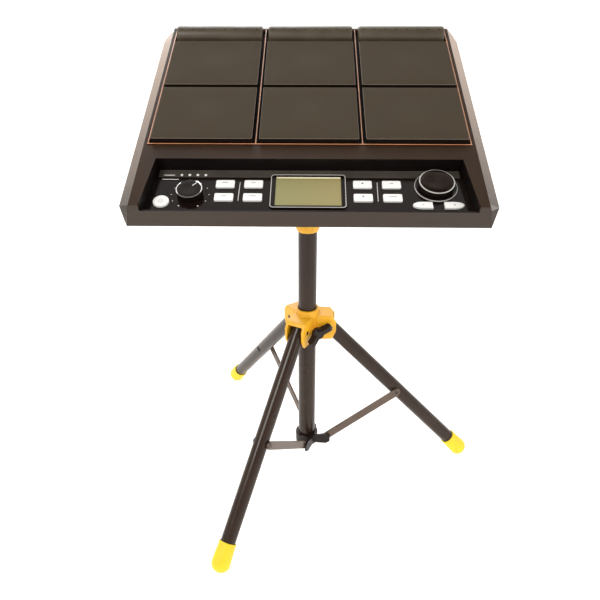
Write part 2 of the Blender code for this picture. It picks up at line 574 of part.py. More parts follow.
def leg_set(number, azimuth, side, column, looks):
    """One leg with its foot and bracket, its hub pin, and the brace that props it."""
    frame = frame_empty(f"leg_{number}_frame", (0, 0, 0), (0, 0, azimuth), column)
    at, turn = (HUB_PIN_OUT, 0, HUB_PIN_Z), (0, pi / 2 + LEG_SLOPE, 0)
    foot_centre = (HUB_PIN_Z - FOOT_R + FOOT_FLAT) / sin(LEG_SLOPE)

    leg_end = foot_centre + 0.0010
    leg = add(f"leg_{number}", tube(LEG_R, LEG_R - TUBE_WALL, -0.0050, leg_end, 20), frame, at,
              turn, looks["tube"])
    cut(leg, rod(PIN_R + GAP, -0.02, 0.02, 12), at, ALONG_Y)
    pin_half = FORK_HALF_WIDTH - 0.0002
    add(f"hub_pin_{number}", rod(PIN_R, -pin_half, pin_half, 12), frame, at, ALONG_Y, looks["steel"])

    sleeve, steps = foot_centre - 0.0270, 5
    dome = [(FOOT_R * cos(pi / 2 * i / steps), foot_centre + FOOT_R * sin(pi / 2 * i / steps))
            for i in range(steps)]
    profile = [(LEG_R + GAP, sleeve), (FOOT_R - 0.0010, sleeve)] + dome
    profile += [(0, foot_centre + FOOT_R), (0, leg_end + GAP), (LEG_R + GAP, leg_end + GAP)]
    foot = add(f"foot_{number}", turned(profile, 20, bored=True), frame, at, turn, looks["yellow"])
    cut(foot, block(0.10, 0.40, -0.10, 0.10, -0.05, 0.0))

    band = tube(BRACKET_R, LEG_R + GAP, BRACKET_ON_LEG - 0.0100, BRACKET_ON_LEG + 0.0100, 20)
    bracket = add(f"leg_bracket_{number}", band, frame, at, turn, looks["black"])
    out = HUB_PIN_OUT + BRACKET_ON_LEG * cos(LEG_SLOPE)
    high = HUB_PIN_Z - BRACKET_ON_LEG * sin(LEG_SLOPE)
    fuse(bracket, rod(0.0032, LEG_R + 0.0007, LEG_R + 0.0035, 10), (out, 0, high), (side * pi / 2, 0, 0))

    reach, rise = out - SPIDER_PIN_OUT, high - SPIDER_PIN_Z
    length, angle = hypot(reach, rise), atan2(rise, reach)
    inner, outer = BRACE_INNER_FACE, BRACE_INNER_FACE + BRACE_THICKNESS
    low, top = sorted((side * inner, side * outer))
    brace_at, brace_turn = (SPIDER_PIN_OUT, 0, SPIDER_PIN_Z), (0, -angle, 0)
    bar = add(f"brace_{number}", prism(stadium(0.0, length, BRACE_HALF_WIDTH), low, top, "y"), frame,
              brace_at, brace_turn, looks["brace"])
    cut(bar, rod(STUD_R + GAP, -0.02, 0.02, 12), brace_at, ALONG_Y)
    fuse(bar, rod(0.0042, outer - 0.0005, outer + 0.0016, 12), (out, 0, high), (-side * pi / 2, 0, 0))


def stand(column, looks):
    add("column_tube", tube(COLUMN_R, COLUMN_R - TUBE_WALL, COLUMN_BOTTOM, COLUMN_TOP, 24), column,
        look=looks["tube"])
    plug = COLUMN_R - TUBE_WALL - GAP
    low = COLUMN_BOTTOM - GAP
    cap = [(0, low - 0.0040), (COLUMN_R - 0.001, low - 0.0040), (COLUMN_R, low - 0.0030), (COLUMN_R, low),
           (plug, low), (plug, low + 0.0180), (0, low + 0.0180)]
    add("column_cap", turned(cap, 24), column, look=looks["black"])
    hub(column, looks)
    tripod_hub_knob(column, looks["black"])
    spider(column, looks["black"])
    for number, (azimuth, side) in enumerate(zip(LEG_AZIMUTHS, BRACE_SIDES), 1):
        leg_set(number, azimuth, side, column, looks)
    mast_and_collar(column, looks)
    tilt_head(column, looks)
    mount_bracket(column, looks["black"])


def main():
    clear_scene()
    looks = {
        "casing": material("casing", (0.045, 0.036, 0.031), 0.45),
        "rubber": material("rubber", (0.070, 0.058, 0.046), 0.80),
        "trim": material("trim", (0.45, 0.13, 0.05), 0.45),
        "panel": material("panel", (0.008, 0.008, 0.009), 0.15),
        "white": material("white", (0.86, 0.86, 0.83), 0.40),
        "knob": material("knob", (0.03, 0.03, 0.03), 0.35),
        "dial": material("dial", (0.06, 0.045, 0.035), 0.30, 0.8),
        "chrome": material("chrome", (0.80, 0.80, 0.80), 0.12, 1.0),
        "screen": material("screen", (0.34, 0.35, 0.11), 0.20),
        "steel": material("steel", (0.55, 0.55, 0.55), 0.35, 1.0),
        "board": material("board", (0.02, 0.16, 0.07), 0.50),
        "tube": material("tube", (0.020, 0.017, 0.016), 0.30),
        "brace": material("brace", (0.11, 0.09, 0.075), 0.35, 0.5),
        "black": material("black", (0.015, 0.014, 0.014), 0.45),
        "orange": material("orange", (0.85, 0.38, 0.04), 0.50),
        "yellow": material("yellow", (0.90, 0.80, 0.03), 0.60),
    }
    column = frame_empty("column_axis", (COLUMN_X, COLUMN_Y, 0))
    deck = frame_empty("deck_axes", (DECK_X, DECK_Y, DECK_Z), (DECK_TILT, 0, 0), column)
    stand(column, looks)
    pad_unit(deck, looks)


main()
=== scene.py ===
"""Looks of the electronic practice pad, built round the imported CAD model. Metres, +Z up.

Pieces on the pad unit are made in deck axes (u right, v away from the player, w out of the deck), and
pieces on a leg in axes that run down the leg. Their places are read from the CAD nodes and joints.
"""

import json
from math import atan2, cos, pi, radians, sin

import bmesh
import bpy
import numpy as np
from mathutils import Matrix, Vector


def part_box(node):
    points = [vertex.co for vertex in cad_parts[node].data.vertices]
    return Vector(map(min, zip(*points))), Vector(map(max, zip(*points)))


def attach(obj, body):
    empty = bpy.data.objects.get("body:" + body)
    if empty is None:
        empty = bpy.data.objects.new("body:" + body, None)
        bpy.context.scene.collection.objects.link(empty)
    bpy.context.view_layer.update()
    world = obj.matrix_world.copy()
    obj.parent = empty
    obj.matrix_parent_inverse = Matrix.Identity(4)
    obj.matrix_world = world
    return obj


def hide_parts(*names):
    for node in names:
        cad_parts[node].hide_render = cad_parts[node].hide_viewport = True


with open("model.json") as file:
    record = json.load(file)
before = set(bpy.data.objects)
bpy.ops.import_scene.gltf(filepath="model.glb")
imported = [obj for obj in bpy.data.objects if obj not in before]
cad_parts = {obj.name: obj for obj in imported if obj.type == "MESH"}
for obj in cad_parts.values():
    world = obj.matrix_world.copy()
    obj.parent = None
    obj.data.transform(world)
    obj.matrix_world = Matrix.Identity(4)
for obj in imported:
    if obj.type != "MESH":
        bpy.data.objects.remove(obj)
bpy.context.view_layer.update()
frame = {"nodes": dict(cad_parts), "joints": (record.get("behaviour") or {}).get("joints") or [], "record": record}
NODES = frame["nodes"]
JOINTS = {joint["name"]: joint for joint in frame["joints"]}
BODY = {node: body for body, nodes in frame["record"]["behaviour"]["bodies"].items() for node in nodes}
SLOT = {part["node"]: part["material_slot"] for part in frame["record"]["subparts"]}

ENCODER_IN_DECK = Vector((0.1350, -0.1290, -0.0060))  # where the encoder's joint lies in deck axes
LIFT = 0.00012  # how far a printed mark stands off its face
PRINT_DEPTH = 0.00005
JACK_U = (-0.0400, 0.0, 0.0400)
STEP_BUTTON_REACH = 0.0105  # length of the rounded end of the minus and plus buttons
POINTER_TURN = radians(40)  # of the volume knob's pointer, toward the player's right
TUBE_WALL = 0.0015
BRACE_HALF_WIDTH, BRACE_THICKNESS = 0.0058, 0.0028

# Camera, from the column's axis on the floor.
CAMERA_PLACE = Vector((0.0037, -0.7692, 0.7152))
CAMERA_YAW, CAMERA_PITCH, CAMERA_ROLL = 0.0180, -0.5122, 0.0010
CAMERA_LENS = 38.4


# ---------------------------------------------------------------- axes

def axes(origin, x, z):
    """A matrix with the given origin and directions; z is exact and x is squared up to it."""
    z = Vector(z).normalized()
    y = z.cross(Vector(x)).normalized()
    made = Matrix((y.cross(z), y, z)).transposed().to_4x4()
    made.translation = origin
    return made


def deck_axes():
    joint = JOINTS["encoder_turn"]
    made = axes((0, 0, 0), (1, 0, 0), joint["axis"])
    made.translation = Vector(joint["pos_m"]) - made.to_3x3() @ ENCODER_IN_DECK
    return made


def points_of(node, matrix=None):
    """The node's vertices as an array, in world or in the given axes."""
    turn = (matrix or Matrix()).inverted()
    return np.array([turn @ vertex.co for vertex in NODES[node].data.vertices])


def local_box(node, matrix):
    points = points_of(node, matrix)
    return points.min(0), points.max(0)


def run_axes(node, towards):
    """Axes with Z down the length of a straight tube, and the positions of its two ends along Z."""
    points = points_of(node)
    middle = points.mean(0)
    run = Vector(np.linalg.svd(points - middle)[2][0])
    if run.dot(Vector(towards) - Vector(middle)) < 0:
        run = -run
    along = (points - middle) @ np.array(run)
    far_ring = points[along > along.max() - 0.0005].mean(0)
    made = axes(far_ring, (0, 0, 1), run)
    return made, -(along.max() - along.min())


DECK = deck_axes()
TILT_POINT = Vector(JOINTS["unit_tilt"]["pos_m"])
COLUMN = Matrix.Translation((TILT_POINT.x, TILT_POINT.y, 0))


# ---------------------------------------------------------------- materials

def nodes_of(name):
    made = bpy.data.materials.new(name)
    made.use_nodes = True
    tree = made.node_tree
    return made, tree, tree.nodes["Principled BSDF"]


def object_noise(tree, size, detail=3.0):
    """A noise with features of the given size in metres, fixed to the piece."""
    where = tree.nodes.new("ShaderNodeTexCoord")
    noise = tree.nodes.new("ShaderNodeTexNoise")
    noise.inputs["Scale"].default_value = 1.0 / size
    noise.inputs["Detail"].default_value = detail
    tree.links.new(where.outputs["Object"], noise.inputs["Vector"])
    return noise


def between(tree, source, low, high):
    remap = tree.nodes.new("ShaderNodeMapRange")
    remap.inputs["From Min"].default_value = 0.3
    remap.inputs["From Max"].default_value = 0.7
    remap.inputs["To Min"].default_value = low
    remap.inputs["To Max"].default_value = high
    tree.links.new(source, remap.inputs["Value"])
    return remap.outputs["Result"]


def mixed(tree, factor, low, high):
    mix = tree.nodes.new("ShaderNodeMix")
    mix.data_type = "RGBA"
    for socket, value in ((6, low), (7, high)):
        if isinstance(value, bpy.types.NodeSocket):
            tree.links.new(value, mix.inputs[socket])
        else:
            mix.inputs[socket].default_value = (*value, 1.0)
    tree.links.new(factor, mix.inputs[0])
    return mix.outputs[2]


def surface(name, colour, roughness, metallic=0.0, vary=0.10, vary_size=0.04, spread=0.06, grain=0.0,
            grain_size=0.0005, grain_depth=0.00005, coat=0.0, specular=0.5):
    """A procedural material: mottled colour and roughness, and a fine grain."""
    made, tree, shader = nodes_of(name)
    mottle = object_noise(tree, vary_size, 4.0).outputs["Fac"]
    factor = between(tree, mottle, 0.0, 1.0)
    low, high = ([min(1.0, c * (1 + sign * vary)) for c in colour] for sign in (-1, 1))
    tint = mixed(tree, factor, low, high)
    tree.links.new(tint, shader.inputs["Base Color"])
    tree.links.new(between(tree, mottle, roughness - spread, roughness + spread), shader.inputs["Roughness"])
    shader.inputs["Metallic"].default_value = metallic
    shader.inputs["Coat Weight"].default_value = coat
    shader.inputs["Coat Roughness"].default_value = 0.08
    shader.inputs["Specular IOR Level"].default_value = specular
    if grain:
        bump = tree.nodes.new("ShaderNodeBump")
        bump.inputs["Strength"].default_value = grain
        bump.inputs["Distance"].default_value = grain_depth
        fine = object_noise(tree, grain_size, 2.0).outputs["Fac"]
        tree.links.new(fine, bump.inputs["Height"])
        tree.links.new(bump.outputs["Normal"], shader.inputs["Normal"])
    return made


def rubber_pad():
    """Matte rubber, a little paler where sticks land in the middle of each pad."""
    made = surface("pad_rubber", (0.049, 0.036, 0.022), 0.78, vary=0.07, vary_size=0.05, grain=0.55,
                   grain_size=0.0006, grain_depth=0.00008, specular=0.15)
    tree = made.node_tree
    shader = tree.nodes["Principled BSDF"]
    where = tree.nodes.new("ShaderNodeTexCoord")
    length = tree.nodes.new("ShaderNodeVectorMath")
    length.operation = "LENGTH"
    tree.links.new(where.outputs["Object"], length.inputs[0])
    patch = tree.nodes.new("ShaderNodeMapRange")
    patch.interpolation_type = "SMOOTHSTEP"
    for socket, value in (("From Min", 0.032), ("From Max", 0.004), ("To Min", 0.0), ("To Max", 0.22)):
        patch.inputs[socket].default_value = value
    tree.links.new(length.outputs["Value"], patch.inputs["Value"])
    smudge = tree.nodes.new("ShaderNodeMath")
    smudge.operation = "MULTIPLY"
    tree.links.new(patch.outputs["Result"], smudge.inputs[0])
    tree.links.new(object_noise(tree, 0.006, 5.0).outputs["Fac"], smudge.inputs[1])
    plain = shader.inputs["Base Color"].links[0].from_socket
    tree.links.new(mixed(tree, smudge.outputs["Value"], plain, (0.085, 0.072, 0.055)),
                   shader.inputs["Base Color"])
    return made


def display_glass():
    """Olive display, browner to the right, with the faint grid of its segments."""
    made, tree, shader = nodes_of("display_olive")
    where = tree.nodes.new("ShaderNodeTexCoord")
    split = tree.nodes.new("ShaderNodeSeparateXYZ")
    tree.links.new(where.outputs["Object"], split.inputs["Vector"])
    across = tree.nodes.new("ShaderNodeMapRange")
    for socket, value in (("From Min", -0.035), ("From Max", 0.035)):
        across.inputs[socket].default_value = value
    tree.links.new(split.outputs["X"], across.inputs["Value"])
    tint = mixed(tree, across.outputs["Result"], (0.245, 0.232, 0.082), (0.290, 0.236, 0.080))
    cells = tree.nodes.new("ShaderNodeTexBrick")
    cells.offset = 0.0
    for socket, value in (("Scale", 1.0), ("Brick Width", 0.0014), ("Row Height", 0.0014),
                          ("Mortar Size", 0.00012)):
        cells.inputs[socket].default_value = value
    tree.links.new(where.outputs["Object"], cells.inputs["Vector"])
    faint = tree.nodes.new("ShaderNodeMath")
    faint.operation = "MULTIPLY"
    faint.inputs[1].default_value = 0.10
    tree.links.new(cells.outputs["Fac"], faint.inputs[0])
    tint = mixed(tree, faint.outputs["Value"], tint, (0.20, 0.19, 0.06))
    tree.links.new(tint, shader.inputs["Base Color"])
    tree.links.new(between(tree, object_noise(tree, 0.01).outputs["Fac"], 0.28, 0.36),
                   shader.inputs["Roughness"])
    shader.inputs["Coat Weight"].default_value = 0.3
    shader.inputs["Coat Roughness"].default_value = 0.05
    return made


def turned_metal():
    """Dark anodised knob top with turning marks, whose glare runs out from the middle."""
    made, tree, shader = nodes_of("turned_dark_metal")
    where = tree.nodes.new("ShaderNodeTexCoord")
    rings = tree.nodes.new("ShaderNodeTexWave")
    rings.wave_type = "RINGS"
    rings.rings_direction = "Z"
    rings.inputs["Scale"].default_value = 700.0
    rings.inputs["Distortion"].default_value = 0.4
    tree.links.new(where.outputs["Object"], rings.inputs["Vector"])
    bump = tree.nodes.new("ShaderNodeBump")
    bump.inputs["Strength"].default_value = 0.25
    bump.inputs["Distance"].default_value = 0.00003
    tree.links.new(rings.outputs["Fac"], bump.inputs["Height"])
    tree.links.new(bump.outputs["Normal"], shader.inputs["Normal"])
    tree.links.new(mixed(tree, rings.outputs["Fac"], (0.012, 0.0065, 0.004), (0.026, 0.015, 0.010)),
                   shader.inputs["Base Color"])
    around = tree.nodes.new("ShaderNodeTangent")
    around.direction_type = "RADIAL"
    around.axis = "Z"
    tree.links.new(around.outputs["Tangent"], shader.inputs["Tangent"])
    shader.inputs["Metallic"].default_value = 0.90
    shader.inputs["Roughness"].default_value = 0.27
    shader.inputs["Anisotropic"].default_value = 0.85
    return made


def rim_painted_reflection():
    """Glossy side rim, darkest at the front corner and paler toward the back, where its colour is painted
    reflection of the pale backdrop.
    """
    made = surface("casing_rim_painted_reflection", (0.055, 0.036, 0.026), 0.24, vary=0.08, spread=0.03, coat=0.45)
    tree = made.node_tree
    shader = tree.nodes["Principled BSDF"]
    where = tree.nodes.new("ShaderNodeTexCoord")
    split = tree.nodes.new("ShaderNodeSeparateXYZ")
    tree.links.new(where.outputs["Object"], split.inputs["Vector"])
    along = tree.nodes.new("ShaderNodeMapRange")
    for socket, value in (("From Min", -0.16), ("From Max", 0.14)):
        along.inputs[socket].default_value = value
    tree.links.new(split.outputs["Y"], along.inputs["Value"])
    plain = shader.inputs["Base Color"].links[0].from_socket
    # The pale colour that fades in toward the back is painted reflection of the backdrop.
    tree.links.new(mixed(tree, along.outputs["Result"], plain, (0.40, 0.28, 0.205)),
                   shader.inputs["Base Color"])
    return made


MATERIALS = {
    "casing": surface("casing_plastic", (0.031, 0.0180, 0.0105), 0.46, grain=0.4, grain_size=0.0009,
                      grain_depth=0.00005, specular=0.32),
    # A darker, duller copy of the casing for the upward faces: painted shade.
    "deck": surface("casing_deck_painted_shade", (0.0300, 0.0160, 0.0085), 0.40, vary=0.15, grain=0.3, grain_size=0.0009,
                    grain_depth=0.00003, specular=0.10),
    # Side rim: paler toward the back as painted reflection.
    "rim": rim_painted_reflection(),
    # Near-black walls of the control recess: painted shade.
    "recess": surface("recess_wall_painted_shade", (0.0040, 0.0022, 0.0018), 0.42, vary=0.1, specular=0.2),
    "rubber": rubber_pad(),
    # Paler rubber on the pads' rounded top edge: painted highlight.
    "pad_edge_painted_highlight": surface("pad_edge_painted_highlight", (0.125, 0.100, 0.078), 0.50, vary=0.05),
    "bar": surface("bar_rubber", (0.062, 0.047, 0.029), 0.42, vary=0.12, vary_size=0.02, grain=0.4,
                   grain_size=0.0006, grain_depth=0.00006, specular=0.45),
    # Near-black for the pads' sides, the plate in the gaps between them and the bars' dimples: painted shade.
    "shade_black": surface("painted_shade_black", (0.0065, 0.0030, 0.0018), 0.65, specular=0.1),
    "trim": surface("trim_body", (0.060, 0.012, 0.006), 0.45, vary=0.12, vary_size=0.03, specular=0.15),
    "trim_bright": surface("trim_line", (0.66, 0.30, 0.14), 0.34, vary=0.14, vary_size=0.03, coat=0.3),
    "panel": surface("panel_gloss", (0.0075, 0.0038, 0.0030), 0.15, vary=0.15, spread=0.03, grain=0.05,
                     grain_size=0.002, coat=0.06, specular=0.16),
    "band": surface("panel_band", (0.052, 0.046, 0.037), 0.36, vary=0.15, vary_size=0.02),
    "white": surface("button_white", (0.86, 0.86, 0.84), 0.38, vary=0.02, grain=0.15, coat=0.15),
    "print": surface("print_white", (0.82, 0.80, 0.76), 0.55, vary=0.05),
    "faint_print": surface("print_grey", (0.42, 0.41, 0.39), 0.55, vary=0.05),
    "dark_label": surface("label_grey", (0.22, 0.21, 0.20), 0.55, vary=0.05),
    "dark_print": surface("print_black", (0.015, 0.014, 0.014), 0.55, vary=0.05),
    "knob": surface("knob_plastic", (0.0075, 0.0045, 0.0035), 0.32, vary=0.12, grain=0.1, specular=0.12),
    "dial": turned_metal(),
    "chrome": surface("chrome", (0.88, 0.87, 0.85), 0.12, 1.0, vary=0.03, spread=0.03),
    # A pale, barely metallic line for chrome edges, bright from any side: painted reflection.
    "bright": surface("painted_reflection_line", (0.56, 0.55, 0.52), 0.30, 0.2, vary=0.05, coat=0.4),
    "screen": display_glass(),
    # Pale strip at the display's top edge: painted highlight.
    "highlight_cream": surface("display_painted_highlight", (0.78, 0.72, 0.52), 0.40, vary=0.06),
    "steel": surface("plain_steel", (0.50, 0.49, 0.47), 0.36, 1.0, vary=0.08, vary_size=0.01, grain=0.2,
                     grain_size=0.0012),
    "dark_steel": surface("dark_steel", (0.035, 0.030, 0.028), 0.35, 0.6, vary=0.2, vary_size=0.004),
    "board": surface("board_green", (0.015, 0.12, 0.05), 0.45, vary=0.35, vary_size=0.003),
    "tube": surface("tube_powder_coat", (0.029, 0.0155, 0.0095), 0.24, vary=0.12, vary_size=0.05, grain=0.25,
                    grain_size=0.0011, grain_depth=0.00002, coat=0.08, specular=0.24),
    "brace": surface("brace_coat", (0.105, 0.072, 0.053), 0.34, 0.25, vary=0.16, vary_size=0.02, grain=0.3,
                     grain_size=0.0010),
    "black": surface("moulded_black", (0.016, 0.0105, 0.0085), 0.38, vary=0.15, grain=0.4,
                     grain_size=0.0008, specular=0.20),
    "orange": surface("moulded_orange", (0.83, 0.415, 0.010), 0.42, vary=0.08, vary_size=0.02, grain=0.3,
                      grain_size=0.0010),
    "yellow": surface("foot_rubber", (0.82, 0.63, 0.014), 0.55, vary=0.07, vary_size=0.015, grain=0.5,
                      grain_size=0.0008),
}


# ---------------------------------------------------------------- making pieces

def piece(name, shape, matrix, body, look, slot, nodes=(), smooth=32, bevel=0.0, bevel_angle=28,
          own_axes=False):
    """Turns a bmesh in its own axes into a piece that rides on a body, and may stand for CAD nodes."""
    if not own_axes:
        bmesh.ops.transform(shape, matrix=matrix.to_3x3().to_4x4(), verts=shape.verts)
        matrix = Matrix.Translation(matrix.translation)
    bmesh.ops.recalc_face_normals(shape, faces=shape.faces)
    mesh = bpy.data.meshes.new(name)
    shape.to_mesh(mesh)
    shape.free()
    mesh.materials.append(MATERIALS[look])
    mesh.shade_smooth()
    mesh.set_sharp_from_angle(angle=radians(smooth))
    made = bpy.data.objects.new(name, mesh)
    bpy.context.scene.collection.objects.link(made)
    made.matrix_world = matrix
    if bevel:
        rounding = made.modifiers.new("Rounding", "BEVEL")
        rounding.width = bevel
        rounding.segments = 3
        rounding.limit_method = "ANGLE"
        rounding.angle_limit = radians(bevel_angle)
        mesh.set_sharp_from_angle(angle=pi)
        made.modifiers.new("Normals", "WEIGHTED_NORMAL")
    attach(made, body)
    if nodes:
        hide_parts(*nodes)
    return made


def stands_for(node, shape, matrix, look=None, name=None, **more):
    """A finer piece in place of one CAD node, on the same body, in the material of its slot unless another look is
    given.
    """
    return piece(name or f"{node}_fine", shape, matrix, BODY[node], look or SLOT[node], SLOT[node],
                 [node], **more)


def rounded_copy(node, matrix, bevel, bevel_angle=28):
    """The CAD node's own shape with its edges rounded."""
    shape = bmesh.new()
    shape.from_mesh(NODES[node].data)
    bmesh.ops.transform(shape, matrix=matrix.inverted(), verts=shape.verts)
    bmesh.ops.remove_doubles(shape, verts=shape.verts, dist=0.00001)
    bmesh.ops.dissolve_limit(shape, angle_limit=radians(0.6), verts=shape.verts, edges=shape.edges)
    return stands_for(node, shape, matrix, bevel=bevel, bevel_angle=bevel_angle)


def accent(made, look, picks):
    """Gives a second material to the faces that picks says yes to, from their centre and normal."""
    made.data.materials.append(MATERIALS[look])
    for face in made.data.polygons:
        if picks(made.matrix_world @ face.center, face.normal):
            face.material_index = len(made.data.materials) - 1


def keep(node, look):
    """A CAD node whose shape stays, with a better material."""
    mesh = NODES[node].data
    mesh.materials.clear()
    mesh.materials.append(MATERIALS[look])


def stack(rings, closed=False, sheet=False):
    """Skins a list of rings of points and caps its two ends. Closed rings meet, and a sheet stays open."""
    shape = bmesh.new()
    levels = [[shape.verts.new(point) for point in ring] for ring in rings]
    count = len(levels[0])
    for low, high in zip(levels, levels[1:] + (levels[:1] if closed else [])):
        for i in range(count - 1 if sheet else count):
            j = (i + 1) % count
            shape.faces.new((low[i], low[j], high[j], high[i]))
    if not closed and not sheet:
        shape.faces.new(levels[0])
        shape.faces.new(levels[-1])
    return shape


def turned(profile, count=96, closed=False, ribs=0, rib_depth=0.0, ribbed=(0.0, 0.0)):
    """Turns (radius, height) points about Z. Ribs are cut between the two heights in ribbed."""
    rings = []
    for radius, height in profile:
        ring = []
        for i in range(count):
            angle = 2 * pi * i / count
            inside = ribbed[0] - 1e-6 <= height <= ribbed[1] + 1e-6
            dent = rib_depth * (0.5 + 0.5 * cos(ribs * angle)) if ribs and inside else 0.0
            ring.append((max(radius - dent, 0.00002) * cos(angle), max(radius - dent, 0.00002) * sin(angle),
                         height))
        rings.append(ring)
    return stack(rings, closed)


def outline(low, high, corner, steps=6):
    """A rectangle with round corners, from its lowest to its highest (u, v)."""
    points = []
    centres = ((high[0] - corner, high[1] - corner), (low[0] + corner, high[1] - corner),
               (low[0] + corner, low[1] + corner), (high[0] - corner, low[1] + corner))
    for quarter, (u, v) in enumerate(centres):
        for i in range(steps + 1):
            angle = pi / 2 * (quarter + i / steps)
            points.append((u + corner * cos(angle), v + corner * sin(angle)))
    return points


def slab(low, high, corner, edge, crown=0.0, steps=5):
    """A block with round corners in plan and a rounded top edge."""
    rings = []
    levels = [(0.0, low[2]), (0.0, high[2] - edge)]
    levels += [(edge * (1 - cos(pi / 2 * i / steps)), high[2] - edge + edge * sin(pi / 2 * i / steps))
               for i in range(1, steps + 1)]
    for inset, height in levels:
        ring = outline((low[0] + inset, low[1] + inset), (high[0] - inset, high[1] - inset),
                       max(corner - inset * 0.6, edge * 0.3))
        rings.append([(u, v, height) for u, v in ring])
    middle_u, middle_v = (low[0] + high[0]) / 2, (low[1] + high[1]) / 2
    for share in (0.75, 0.45, 0.15):
        rings.append([(middle_u + (u - middle_u) * share, middle_v + (v - middle_v) * share,
                       high[2] + crown * (1 - share)) for u, v, _ in rings[len(levels) - 1]])
    return stack(rings)


def joined(shapes):
    """One bmesh from several."""
    whole = bmesh.new()
    for shape in shapes:
        mesh = bpy.data.meshes.new("joined")
        shape.to_mesh(mesh)
        shape.free()
        whole.from_mesh(mesh)
        bpy.data.meshes.remove(mesh)
    return whole


def moved(shape, matrix):
    bmesh.ops.transform(shape, matrix=matrix, verts=shape.verts)
    return shape


def bar(start, end, width, low, high):
    """A straight printed line between two (u, v) points."""
    run = Vector((end[0] - start[0], end[1] - start[1]))
    side = Vector((-run.y, run.x)).normalized() * width / 2
    corners = [Vector(start) + side, Vector(start) - side, Vector(end) - side, Vector(end) + side]
    return stack([[(point.x, point.y, level) for point in corners] for level in (low, high)])


def dot(place, radius, low, high, count=16):
    return moved(turned([(radius, low), (radius, high)], count), Matrix.Translation((*place, 0)))


# ---------------------------------------------------------------- pad unit

def pads():
    """Flat rubber pads with a crisp top edge painted paler as a highlight, and sides painted near-black as shade.
    """
    up = DECK.to_3x3().col[2]
    for number in range(1, 7):
        low, high = local_box(f"pad_{number}", DECK)
        middle = Vector(((low[0] + high[0]) / 2, (low[1] + high[1]) / 2, high[2]))
        shape = moved(slab(low, high, 0.0016, 0.0006, 0.0002), Matrix.Translation(-middle))
        pad = stands_for(f"pad_{number}", shape, DECK @ Matrix.Translation(middle))
        # Painted highlight on the rounded top edge.
        accent(pad, "pad_edge_painted_highlight", lambda place, normal: 0.25 < normal.dot(up) < 0.985)
        # Painted shade on the sides.
        accent(pad, "shade_black", lambda place, normal: normal.dot(up) < 0.1)


def bar_shape(low, high):
    """A half-round bar with rounded ends."""
    middle, half, height = (low[1] + high[1]) / 2, (high[1] - low[1]) / 2, high[2]
    steps, end = 6, 0.0032
    stations = [(low[0] + end * (1 - cos(pi / 2 * i / steps)), 1 - 0.22 * (1 - sin(pi / 2 * i / steps)))
                for i in range(steps + 1)]
    stations += [(low[0] + high[0] - u, scale) for u, scale in reversed(stations)]
    rings = []
    for u, scale in stations:
        arc = [(middle + half * scale * cos(pi * i / 28), height * scale * sin(pi * i / 28))
               for i in range(29)]
        ring = [(middle + half * scale, low[2])] + arc + [(middle - half * scale, low[2])]
        rings.append([(u, v, w) for v, w in ring])
    return stack(rings)


def bars():
    """The three bars, each with its row of small dimples along the top, drawn as near-black discs of painted
    shade.
    """
    lean = radians(108)
    for number in range(1, 4):
        low, high = local_box(f"bar_pad_{number}", DECK)
        stands_for(f"bar_pad_{number}", bar_shape(low, high), DECK, "bar")
        middle, half = (low[1] + high[1]) / 2, (high[1] - low[1]) / 2
        count = 8
        turn = Matrix.Rotation(pi / 2 - lean, 4, "X").inverted()
        holes = []
        for i in range(count):
            u = low[0] + (high[0] - low[0]) * (i + 0.5) / count
            at = Vector((u, middle + half * cos(lean), high[2] * sin(lean)))
            holes.append(moved(turned([(0.0008, -0.0006), (0.0008, 0.00006)], 14),
                               Matrix.Translation(at) @ turn))
        # The dimples are near-black discs standing for the shade in hollows: painted shade.
        piece(f"bar_{number}_dimples", joined(holes), DECK, "unit", "shade_black", "rubber")


def in_recess(place):
    """Whether a point in deck axes lies on the walls or floor of the control recess."""
    low, high = local_box("control_panel", DECK)
    within = low[1] - 0.0004 < place.y < high[1] + 0.0008 and abs(place.x) < high[0] + 0.003
    return within and place.z < -0.0004


def trim_lines():
    """The bright line that runs along the middle of each trim strip."""
    low, high = local_box("trim_frame", DECK)
    half, floor, top = 0.0009, high[2] + 0.00002, high[2] + 0.00012
    divider = [(local_box(f"pad_{n}", DECK)[1][0] + local_box(f"pad_{n + 1}", DECK)[0][0]) / 2
               for n in (1, 2)]
    front, back = low[1] + half, high[1] - 0.0004
    lines = [bar((low[0], front), (high[0], front), 0.0010, floor, top)]
    for u in (low[0] + half, *divider, high[0] - half):
        lines.append(bar((u, front), (u, back), 0.0009, floor, top))
    piece("trim_lines", joined(lines), DECK, "unit", "trim_bright", "trim")


def casing():
    shell = rounded_copy("upper_shell", DECK, 0.0006, bevel_angle=20)
    side, up = DECK.to_3x3().col[0], DECK.to_3x3().col[2]
    # Side rims: their paler back is painted reflection.
    accent(shell, "rim", lambda place, normal: abs(normal.dot(side)) > 0.3 and normal.dot(up) > 0.3)
    # Upward faces get the darker copy of the casing as painted shade.
    accent(shell, "deck", lambda place, normal: normal.dot(up) > 0.97)
    # Recess walls painted near-black as shade.
    accent(shell, "recess", lambda place, normal: in_recess(DECK.inverted() @ place))
    rounded_copy("lower_shell", DECK, 0.0012)
    keep("trim_frame", "trim")
    trim_lines()
    # The plate shows only in the gaps between the pads, and its near-black colour is painted shade there.
    keep("sensor_plate", "shade_black")
    keep("circuit_board", "board")


